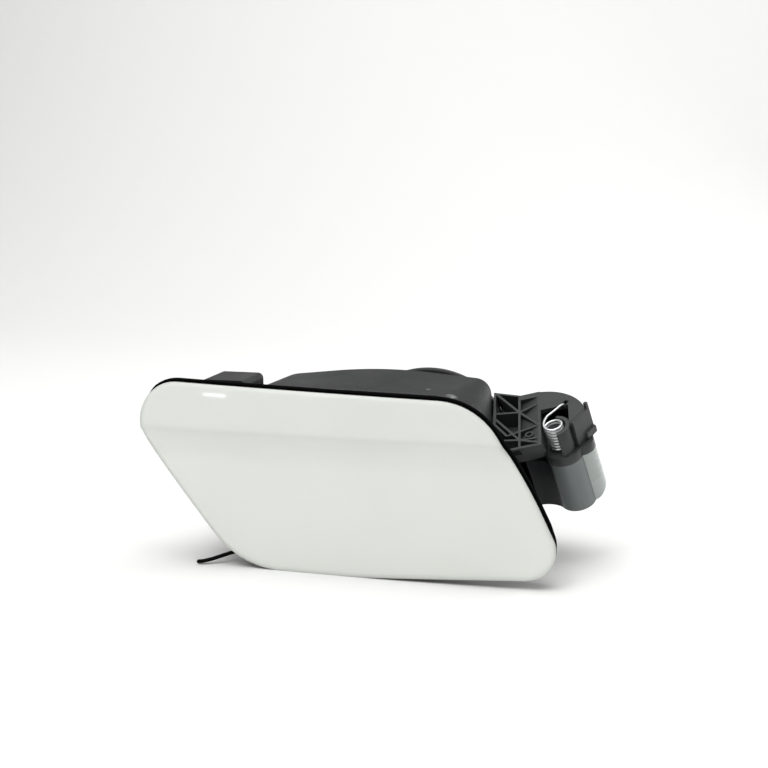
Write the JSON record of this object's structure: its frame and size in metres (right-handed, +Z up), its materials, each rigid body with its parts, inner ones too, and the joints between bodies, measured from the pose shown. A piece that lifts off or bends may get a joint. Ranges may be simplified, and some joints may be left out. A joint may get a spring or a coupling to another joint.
{
  "type": "fuel filler flap assembly",
  "caption": "Painted fuel filler flap with creased skin, black carrier and gooseneck arm, hinged on a moulded filler bowl with ribbed hinge pocket, leg spring and rubber neck collar.",
  "frame": {"origin": "axis of the filler neck bore, where it meets the back of the bowl", "axes": "+X along the flap towards its hinge, +Y back into the car along the filler neck, +Z up"},
  "size_m": [0.2367, 0.0845, 0.0975],
  "materials": {
    "paint": "painted gloss",
    "black_moulding": "moulded satin",
    "grey_moulding": "moulded fine grain",
    "cover_moulding": "moulded satin",
    "rubber": "matte",
    "spring_steel": "bright zinc",
    "pin_steel": "phosphated"
  },
  "bodies": {
    "housing": {"filler_bowl": "grey_moulding", "hinge_housing": "grey_moulding", "hinge_cover": "cover_moulding", "hinge_pin": "pin_steel", "hinge_spring": "spring_steel", "retaining_clip": "cover_moulding", "neck_collar": "rubber", "lock_bush": "black_moulding", "drain_stub": "rubber"},
    "flap": {"flap_outer_panel": "paint", "flap_carrier": "black_moulding", "flap_edge_seal": "rubber", "flap_striker": "black_moulding", "cap_holder": "black_moulding", "flap_buffer": "rubber"}
  },
  "joints": [
    {"name": "flap_hinge", "type": "hinge", "parent": "housing", "child": "flap", "pos_m": [0.0696, -0.032, 0.0273], "axis": [-0.2346, -0.4226, 0.8754], "range_deg": [0, 75], "stiffness_Nm_per_rad": 0.06, "springref_deg": -114.59, "deforming": ["hinge_spring"]}
  ]
}
